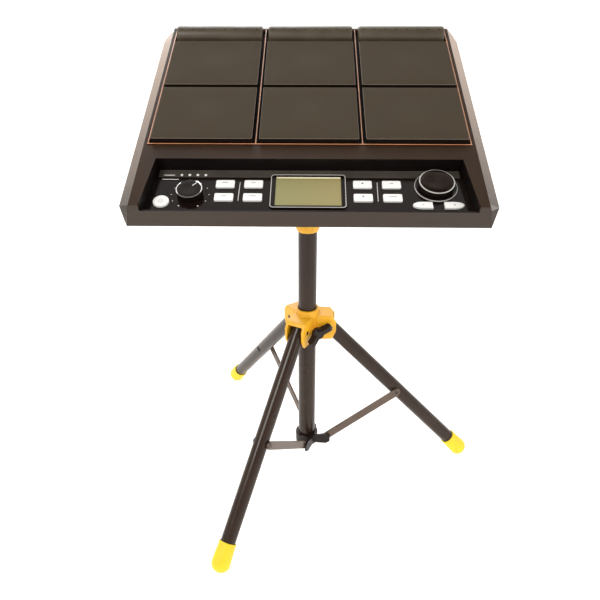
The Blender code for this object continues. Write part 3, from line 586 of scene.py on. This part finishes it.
def underside():
    """Rubber feet and screws on the sloping underside, and nuts round the sockets."""
    low, high = local_box("lower_shell", DECK)
    points = points_of("lower_shell", DECK)
    front_w = points[np.abs(points[:, 1] - low[1]) < 0.0002, 2].min()
    slope = atan2(front_w - low[2], high[1] - low[1])

    def under(u, v):
        share = (v - low[1]) / (high[1] - low[1])
        at = Vector((u, v, front_w + (low[2] - front_w) * share))
        return Matrix.Translation(at) @ Matrix.Rotation(pi - slope, 4, "X")

    feet, screws = [], []
    for u in (low[0] + 0.035, high[0] - 0.035):
        for v in (low[1] + 0.035, high[1] - 0.035):
            profile = [(0.0095, -0.0006), (0.0095, 0.0022), (0.0088, 0.0030), (0.0040, 0.0030)]
            feet.append(moved(turned(profile, 48), under(u, v)))
    for u in (low[0] + 0.012, -0.095, 0.095, high[0] - 0.012):
        for v in (low[1] + 0.014, high[1] - 0.014):
            profile = [(0.0032, -0.0006), (0.0032, 0.0004), (0.0026, 0.0012), (0.0013, 0.0014),
                       (0.0011, 0.0005), (0.0004, 0.0004)]
            screws.append(moved(turned(profile, 32), under(u, v)))
    piece("underside_feet", joined(feet), DECK, "unit", "black", "black")
    piece("underside_screws", joined(screws), DECK, "unit", "dark_steel", "steel")

    rounded_copy("jack_panel", DECK, 0.0004)
    low, high = local_box("jack_panel", DECK)
    nuts = []
    for u in JACK_U:
        at = Matrix.Translation((u, high[1], (low[2] + high[2]) / 2)) @ Matrix.Rotation(-pi / 2, 4, "X")
        ring = [(0.0051, 0.0001), (0.0061, 0.0001), (0.0061, 0.0012), (0.0057, 0.0016), (0.0051, 0.0016)]
        nuts.append(moved(turned(ring, 36, closed=True), at))
    piece("socket_nuts", joined(nuts), DECK, "unit", "chrome", "chrome")


# ---------------------------------------------------------------- controls

def panel_prints():
    """The panel's paler band, dividers, scale dots and blank label marks. None of them is lettering."""
    low, high = local_box("control_panel", DECK)
    floor, top = high[2] + LIFT, high[2] + LIFT + PRINT_DEPTH
    keep("control_panel", "panel")
    band_back, band_front = high[1] - 0.0006, high[1] - 0.0125
    band_v = (band_back + band_front) / 2
    strip = bar((low[0] + 0.0085, band_v), (high[0] - 0.0085, band_v), band_back - band_front,
                high[2] + 0.00002, high[2] + 0.00006)
    piece("panel_band", strip, DECK, "unit", "band", "panel")

    marks = []
    rows = [local_box(f"button_{n}", DECK) for n in (1, 5)]
    v_top, v_bottom = rows[0][1][1] - 0.002, rows[1][0][1] + 0.002
    for left, right in ((1, 2), (3, 4)):
        u = (local_box(f"button_{left}", DECK)[1][0] + local_box(f"button_{right}", DECK)[0][0]) / 2
        marks.append(bar((u, v_bottom), (u + 0.0004, v_top), 0.00055, floor, top))
    led_low, led_high = local_box("led_strip", DECK)
    led_v = (led_low[1] + led_high[1]) / 2
    marks.append(bar((led_low[0] - 0.0155, led_v), (led_low[0] - 0.0035, led_v), 0.0011, floor, top))
    marks.append(bar((led_low[0] - 0.0165, led_v - 0.0068), (led_low[0] + 0.0015, led_v - 0.0068), 0.0009,
                     floor, top))
    volume = DECK.inverted() @ Vector(JOINTS["volume_turn"]["pos_m"])
    for i in range(11):
        angle = radians(240 - 30 * i)
        marks.append(dot((volume.x + 0.0200 * cos(angle), volume.y + 0.0200 * sin(angle)),
                         0.00055 if 0 < i < 10 else 0.0008, floor, top))
    piece("panel_marks", joined(marks), DECK, "unit", "print", "panel")


def lights():
    """The four round windows of the indicator strip."""
    keep("led_strip", "white")


def display():
    """The display's frame with its bright line, which is painted reflection, the olive glass, and two strips at
    its edges: a pale one at the top as painted highlight and a dark one at the right as painted shade.
    """
    low, high = local_box("lcd_bezel", DECK)
    inner_low, inner_high = local_box("lcd_screen", DECK)
    gap = 0.0004
    outer = outline(low[:2], high[:2], 0.0042)
    window = outline(inner_low[:2] - gap, inner_high[:2] + gap, 0.0008)
    top = outline(low[:2] + 0.0003, high[:2] - 0.0003, 0.0040)
    lift = [(outer, low[2]), (outer, high[2] - 0.0003), (top, high[2]), (window, high[2]), (window, low[2])]
    bezel = stack([[(u, v, w) for u, v in ring] for ring, w in lift], closed=True)
    stands_for("lcd_bezel", bezel, DECK, "panel")
    # The frame's pale line stands in for its chrome edge: painted reflection.
    edge = 0.0011
    track = [outline(low[:2] + inset, high[:2] - inset, 0.0042 - inset)
             for inset in (0.0004, 0.0004, edge, edge)]
    heights = (high[2] - 0.0002, high[2] + 0.0004, high[2] + 0.0004, high[2] - 0.0002)
    rim = stack([[(u, v, w) for u, v in ring] for ring, w in zip(track, heights)], closed=True)
    piece("display_rim", rim, DECK, "unit", "bright", "chrome")
    middle = Vector(((inner_low[0] + inner_high[0]) / 2, (inner_low[1] + inner_high[1]) / 2, 0))
    glass = moved(slab(inner_low, inner_high, 0.0006, 0.0002), Matrix.Translation(-middle))
    stands_for("lcd_screen", glass, DECK @ Matrix.Translation(middle), own_axes=True)
    # A pale strip along the top edge of the glass: painted highlight.
    highlight_v = inner_high[1] - 0.0016
    strip = bar((inner_low[0] + 0.001, highlight_v), (inner_high[0] - 0.0025, highlight_v), 0.0022,
                inner_high[2] + 0.0002, inner_high[2] + 0.0004)
    piece("display_top_painted_highlight", strip, DECK, "unit", "highlight_cream", "screen")
    # A dark strip along the right edge of the glass: painted shade.
    shade_u = inner_high[0] - 0.0011
    shade = bar((shade_u, inner_low[1] + 0.0004), (shade_u, inner_high[1] - 0.0004), 0.0020,
                inner_high[2] + 0.00025, inner_high[2] + 0.00045)
    piece("display_side_painted_shade", shade, DECK, "unit", "panel", "screen")


def triangle(centre, size, low, high):
    """A filled arrow head that points away from the player, or toward them with a negative size."""
    corners = [(-size, -size * 0.45), (size, -size * 0.45), (0.0, size * 0.55)]
    if size < 0:
        corners.reverse()
    points = [(centre[0] + u, centre[1] + v * 1.3) for u, v in corners]
    return stack([[(u, v, w) for u, v in points] for w in (low, high)])


def button_mark(node, centre, floor):
    """The printed sign on a button: an arrow, plus, minus or power sign, or a plain dash."""
    top = floor + PRINT_DEPTH
    u, v = centre
    look = "dark_print"
    if node in ("button_3", "button_7"):
        shapes = [triangle(centre, 0.0015 if node == "button_3" else -0.0015, floor, top)]
    elif node in ("minus_button", "plus_button"):
        shapes = [bar((u - 0.0011, v), (u + 0.0011, v), 0.0004, floor, top)]
        if node == "plus_button":
            shapes.append(bar((u, v - 0.0011), (u, v + 0.0011), 0.0004, floor, top))
    elif node == "power_button":
        arc = [(u + 0.0022 * cos(radians(a)), v + 0.0022 * sin(radians(a))) for a in range(125, 416, 20)]
        shapes = [bar(start, end, 0.0004, floor, top) for start, end in zip(arc, arc[1:])]
        shapes.append(bar((u, v + 0.0006), (u, v + 0.0028), 0.0004, floor, top))
        look = "faint_print"
    else:
        half = (0.0032, 0.0021, 0.0021, 0.0019, 0.0024, 0.0036, 0.0020, 0.0042)[int(node[-1]) - 1]
        shapes = [bar((u - half, v), (u + half, v), 0.0008, floor, top)]
        look = "dark_label"
    piece(f"{node}_mark", joined(shapes), DECK, BODY[node], look, SLOT[node])


def half_round(low, high, side, inset=0.0):
    """Outline of a step button: square toward the middle of the pair, drawn out and round outside."""
    reach, half = STEP_BUTTON_REACH, (high[1] - low[1]) / 2 - inset
    middle = (high[1] + low[1]) / 2
    inner, outer = (low[0], high[0]) if side > 0 else (high[0], low[0])
    points = [(inner + side * inset, middle - half)]
    for i in range(17):
        angle = -pi / 2 + pi * i / 16
        points.append((outer - side * (reach - (reach - inset) * cos(angle)), middle + half * sin(angle)))
    points.append((inner + side * inset, middle + half))
    return points


def buttons():
    """Fine caps: the flange under the panel stays as wide as the CAD has it."""
    panel_top = local_box("control_panel", DECK)[1][2]
    names = [f"button_{n}" for n in range(1, 9)] + ["minus_button", "plus_button", "power_button"]
    for name in names:
        points = points_of(name, DECK)
        high = points.max(0)
        cap = points[points[:, 2] > high[2] - 0.0006]
        cap_low, cap_high = cap.min(0), cap.max(0)
        cap_low[2] = panel_top - 0.0012
        centre = ((cap_low[0] + cap_high[0]) / 2, (cap_low[1] + cap_high[1]) / 2)
        if name in ("minus_button", "plus_button"):
            side = -1 if name == "minus_button" else 1
            levels = ((0.0, cap_low[2]), (0.0, high[2] - 0.0006), (0.0002, high[2] - 0.0002),
                      (0.0006, high[2]))
            shape = stack([[(u, v, w) for u, v in half_round(cap_low, cap_high, side, inset)]
                           for inset, w in levels])
        elif name == "power_button":
            radius = (cap_high[0] - cap_low[0]) / 2
            profile = [(radius, cap_low[2]), (radius, high[2] - 0.0008), (radius - 0.0003, high[2] - 0.0002),
                       (radius - 0.0010, high[2]), (radius * 0.5, high[2] - 0.0001),
                       (0.0005, high[2] - 0.0002)]
            shape = moved(turned(profile, 64), Matrix.Translation((*centre, 0)))
        else:
            shape = slab(cap_low, cap_high, 0.0016, 0.0006, 0.0001)
        stands_for(name, shape, DECK, "white")
        button_mark(name, (centre[0], centre[1] + (0.0012 if name[0] == "b" else 0.0)), high[2] + LIFT)


def volume_knob():
    joint = JOINTS["volume_turn"]
    where = DECK.copy()
    where.translation = joint["pos_m"]
    low, high = local_box("volume_knob", where)
    radius, deep = high[0], local_box("control_panel", where)[1][2] + 0.0003
    profile = [(0.0030, low[2]), (0.0030, deep), (radius, deep), (radius, -0.0030),
               (radius - 0.0002, -0.0018), (radius - 0.0006, -0.0012)]
    body = turned(profile, 192, ribs=48, rib_depth=0.00035, ribbed=(deep, -0.0030))
    stands_for("volume_knob", body, where, "knob")
    crown = [(radius - 0.0006, -0.0014), (radius - 0.0012, -0.0002), (radius - 0.0020, -0.0001),
             (0.0060, -0.0004), (0.0004, -0.0005)]
    piece("volume_knob_top", turned(crown, 96), where, "volume_knob", "knob", "knob")
    ring = [(radius - 0.0009, -0.0014), (radius + 0.0001, -0.0014), (radius + 0.0001, -0.0009),
            (radius - 0.0009, -0.0006)]
    piece("volume_knob_ring", turned(ring, 96, closed=True), where, "volume_knob", "chrome", "chrome")
    aim = pi / 2 - POINTER_TURN
    pointer = bar((0.0050 * cos(aim), 0.0050 * sin(aim)), ((radius - 0.0018) * cos(aim),
                  (radius - 0.0018) * sin(aim)), 0.0008, -0.00015, 0.0)
    piece("volume_knob_pointer", pointer, where, "volume_knob", "print", "white")


def encoder():
    joint = JOINTS["encoder_turn"]
    where = DECK.copy()
    where.translation = joint["pos_m"]
    low, high = local_box("encoder_knob", where)
    radius, deep = high[0], local_box("control_panel", where)[1][2] + 0.0003
    side = [(0.0030, low[2]), (0.0030, deep), (radius, deep), (radius, -0.0020)]
    side += [(radius - 0.0003, -0.0014), (radius - 0.0010, -0.0010)]
    body = turned(side, 360, ribs=90, rib_depth=0.00030, ribbed=(deep, -0.0020))
    stands_for("encoder_knob", body, where, "knob")
    top = [(radius - 0.0010, -0.0011), (radius - 0.0014, -0.0003), (radius - 0.0020, 0.0), (0.0100, -0.0002),
           (0.0003, -0.0004)]
    piece("encoder_top", turned(top, 128), where, "encoder_knob", "dial", "dial", own_axes=True)
    # Pale chamfer line round the knob: painted reflection.
    ring = [(radius - 0.0011, -0.0016), (radius, -0.0016), (radius, -0.0011),
            (radius - 0.0011, -0.0009)]
    piece("encoder_chamfer", turned(ring, 128, closed=True), where, "encoder_knob", "bright", "chrome")
    low, high = local_box("encoder_ring", where)
    outer = high[0]
    base = [(radius + 0.0012, low[2]), (outer - 0.0008, low[2]), (outer - 0.0008, low[2] + 0.0006),
            (radius + 0.0012, low[2] + 0.0006)]
    stands_for("encoder_ring", turned(base, 128, closed=True), where, "panel")
    # Pale line round the base ring: painted reflection.
    line = [(outer - 0.0010, low[2] + 0.0001), (outer, low[2] + 0.0001), (outer - 0.0002, high[2]),
            (outer - 0.0008, high[2])]
    piece("encoder_base_line", turned(line, 128, closed=True), where, "unit", "bright", "chrome")


# ---------------------------------------------------------------- stand

def plain_tube(node, matrix, low, high, radius):
    edge, wall = 0.0004, TUBE_WALL
    profile = [(radius - wall, low + edge), (radius - wall + edge, low), (radius - edge, low),
               (radius, low + edge), (radius, high - edge), (radius - edge, high),
               (radius - wall + edge, high), (radius - wall, high - edge)]
    stands_for(node, turned(profile, 80, closed=True), matrix, "tube")


def column():
    for node in ("column_tube", "inner_mast"):
        low, high = local_box(node, COLUMN)
        plain_tube(node, COLUMN, low[2], high[2], high[0])
    low, high = local_box("column_cap", COLUMN)
    lip = local_box("column_tube", COLUMN)[0][2] - 0.0003
    inner = high[0] - 0.0018
    profile = [(high[0] - 0.0012, low[2]), (high[0], low[2] + 0.0010), (high[0], lip - 0.0003),
               (high[0] - 0.0003, lip), (inner, lip), (inner, high[2])]
    stands_for("column_cap", turned(profile, 64), COLUMN, "black")
    rounded_copy("top_collar", COLUMN, 0.0008, bevel_angle=18)
    rounded_copy("mast_head", COLUMN, 0.0006)
    rounded_copy("mount_bracket", COLUMN, 0.0006)
    keep("tilt_bolt", "steel")
    for knob in ("collar_knob", "hub_knob", "tilt_knob"):
        rounded_copy(knob, COLUMN, 0.0009)


def moulded(node, cell, passes):
    """The CAD node's own shape, softened all over like a moulding."""
    made = rounded_copy(node, COLUMN, 0.0)
    made.data.set_sharp_from_angle(angle=pi)
    cells = made.modifiers.new("Cells", "REMESH")
    cells.mode, cells.voxel_size, cells.use_smooth_shade = "VOXEL", cell, True
    soften = made.modifiers.new("Soften", "SMOOTH")
    soften.iterations, soften.factor = passes, 0.5


def hub():
    moulded("hub", 0.0006, 10)
    rounded_copy("spider", COLUMN, 0.0007, bevel_angle=24)
    for number in (1, 2, 3):
        keep(f"hub_pin_{number}", "dark_steel")


def leg(number):
    """A leg with its foot, the rivet that carries the brace, and the brace itself."""
    foot_low, foot_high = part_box(f"foot_{number}")
    where, top = run_axes(f"leg_{number}", (foot_low + foot_high) / 2)
    radius = local_box(f"leg_{number}", where)[1][1]
    plain_tube(f"leg_{number}", where, top, 0.0, radius)
    foot(number, where, radius)

    out = (Vector(((foot_low + foot_high) / 2).xy) - COLUMN.translation.xy).normalized()
    across = Vector((-out.y, out.x, 0))
    band_low, band_high = local_box(f"leg_bracket_{number}", where)
    height = (band_low[2] + band_high[2]) / 2
    centre = where @ Vector((0, 0, height))
    brace_middle = Vector(points_of(f"brace_{number}").mean(0))
    side = 1 if (brace_middle - centre).dot(across) > 0 else -1
    turn = axes(centre, (0, 0, 1), side * across)
    spacer = [(0.0040, radius - 0.0012), (0.0046, radius - 0.0002), (0.0046, radius + 0.0010),
              (0.0032, radius + 0.0012)]
    dome = [(0.0026, -radius - 0.0012), (0.0042, -radius - 0.0004), (0.0046, -radius + 0.0012)]
    rivet = joined([turned(spacer, 40), turned(dome, 40)])
    stands_for(f"leg_bracket_{number}", rivet, turn, "black", name=f"leg_rivet_{number}")
    brace(number, side * across, centre)


def foot(number, where, leg_radius):
    low, high = local_box(f"foot_{number}", where)
    radius, start = high[1], low[2]
    full_end = points_of(f"leg_{number}", where)[:, 2].max() - 0.0010  # the dome starts here
    dome = [(radius * cos(pi / 2 * i / 14), full_end + radius * sin(pi / 2 * i / 14)) for i in range(14)]
    profile = [(leg_radius + 0.0001, start + 0.0010), (leg_radius + 0.0006, start),
               (radius - 0.0016, start), (radius - 0.0008, start + 0.0006),
               (radius - 0.0007, start + 0.0028), (radius - 0.0012, start + 0.0034),
               (radius - 0.0010, start + 0.0040)]
    profile += dome + [(0.0001, full_end + radius)]
    shape = turned(profile, 72)
    back = where.inverted()
    for vertex in shape.verts:
        world = where @ vertex.co
        if world.z < 0.0:
            world.z = 0.0
            vertex.co = back @ world
    stands_for(f"foot_{number}", shape, where, "yellow")


def brace(number, outward, outer_pin):
    """The flat bar, with a bright-rimmed rivet at its outer end."""
    node = f"brace_{number}"
    inner_pin = Vector(JOINTS[f"brace_{number}_fold"]["pos_m"])
    run = outer_pin - inner_pin
    where = axes(inner_pin, run, outward)
    inner_face = local_box(node, where)[0][2]
    half, face = BRACE_HALF_WIDTH, inner_face + BRACE_THICKNESS
    ends = [(0.0, pi / 2), (run.length, -pi / 2)]
    edge = 0.0004
    rings = []
    for inset, level in ((edge, inner_face), (0.0, inner_face + edge), (0.0, face - edge), (edge, face)):
        ring = []
        for place, first in ends:
            for i in range(17):
                angle = first + pi * i / 16
                ring.append((place + (half - inset) * cos(angle), (half - inset) * sin(angle), level))
        rings.append(ring)
    stands_for(node, stack(rings), where, "brace")
    at = Matrix.Translation((run.length, 0, 0))
    washer = [(0.0018, face - 0.0002), (0.0040, face - 0.0002), (0.0039, face + 0.0005),
              (0.0033, face + 0.0009), (0.0018, face + 0.0007)]
    piece(f"brace_rivet_{number}", moved(turned(washer, 40, closed=True), at), where, node, "brace", "brace")
    core = [(0.0018, face - 0.0002), (0.0018, face + 0.0003), (0.0010, face + 0.0005)]
    piece(f"brace_rivet_core_{number}", moved(turned(core, 32), at), where, node, "dark_steel", "brace")


# ---------------------------------------------------------------- studio

def studio():
    """A pale floor that curves up behind the object and glows a little, and three area lamps."""
    reach, back, rise, bend = 30.0, 4.5, 20.0, 1.5
    section = [(-reach, 0.0)]
    section += [(back - bend + bend * sin(pi / 20 * i), bend - bend * cos(pi / 20 * i)) for i in range(11)]
    section += [(back, rise)]
    shape = stack([[(x, y, z) for y, z in section] for x in (-reach, reach)], sheet=True)
    floor_mesh = bpy.data.meshes.new("floor")
    shape.to_mesh(floor_mesh)
    shape.free()
    floor_mesh.shade_smooth()
    white = surface("floor_white", (0.93, 0.92, 0.91), 0.75, vary=0.01, vary_size=0.6, spread=0.03,
                    specular=0.2)
    glow = white.node_tree.nodes["Principled BSDF"]
    glow.inputs["Emission Color"].default_value = (1.0, 0.995, 0.985, 1.0)
    glow.inputs["Emission Strength"].default_value = 0.34
    floor_mesh.materials.append(white)
    floor = bpy.data.objects.new("floor", floor_mesh)
    bpy.context.scene.collection.objects.link(floor)

    for name, place, size, power, colour in (
            ("key", (-1.5, -1.7, 2.3), 1.1, 48, (1.0, 0.97, 0.93)),
            ("fill", (1.9, -1.0, 1.5), 1.4, 22, (1.0, 0.98, 0.96)),
            ("rear", (-0.6, 2.2, 2.0), 1.6, 34, (0.98, 0.98, 1.0))):
        light = bpy.data.lights.new(name, "AREA")
        light.size, light.energy, light.color = size, power, colour
        lamp = bpy.data.objects.new(name, light)
        lamp.location = place
        aim = Vector((0, 0, 0.35)) - Vector(place)
        lamp.rotation_euler = aim.to_track_quat("-Z", "Y").to_euler()
        bpy.context.scene.collection.objects.link(lamp)
    sky()


def sky():
    """White round the horizon and duller overhead, as under a studio ceiling."""
    world = bpy.data.worlds.new("studio")
    world.use_nodes = True
    tree = world.node_tree
    where = tree.nodes.new("ShaderNodeTexCoord")
    split = tree.nodes.new("ShaderNodeSeparateXYZ")
    ramp = tree.nodes.new("ShaderNodeValToRGB")
    ramp.color_ramp.elements[0].position = 0.10
    ramp.color_ramp.elements[0].color = (1.0, 0.985, 0.965, 1)
    ramp.color_ramp.elements[1].position = 0.80
    ramp.color_ramp.elements[1].color = (0.20, 0.19, 0.18, 1)
    tree.links.new(where.outputs["Generated"], split.inputs["Vector"])
    tree.links.new(split.outputs["Z"], ramp.inputs["Fac"])
    background = tree.nodes["Background"]
    background.inputs["Strength"].default_value = 1.05
    tree.links.new(ramp.outputs["Color"], background.inputs["Color"])
    bpy.context.scene.world = world
    bpy.context.scene.view_settings.view_transform = "Standard"
    bpy.context.scene.view_settings.look = "None"


def camera():
    data = bpy.data.cameras.new("camera")
    data.lens, data.sensor_width = CAMERA_LENS, 36.0
    data.dof.use_dof = False
    made = bpy.data.objects.new("camera", data)
    bpy.context.scene.collection.objects.link(made)
    turn = (Matrix.Rotation(CAMERA_YAW, 4, "Z") @ Matrix.Rotation(CAMERA_PITCH, 4, "X")
            @ Matrix.Rotation(CAMERA_ROLL, 4, "Y") @ Matrix.Rotation(pi / 2, 4, "X"))
    made.matrix_world = Matrix.Translation(COLUMN.translation + CAMERA_PLACE) @ turn
    bpy.context.scene.camera = made


camera()
studio()
casing()
underside()
pads()
bars()
panel_prints()
lights()
display()
buttons()
volume_knob()
encoder()
column()
hub()
for leg_number in (1, 2, 3):
    leg(leg_number)
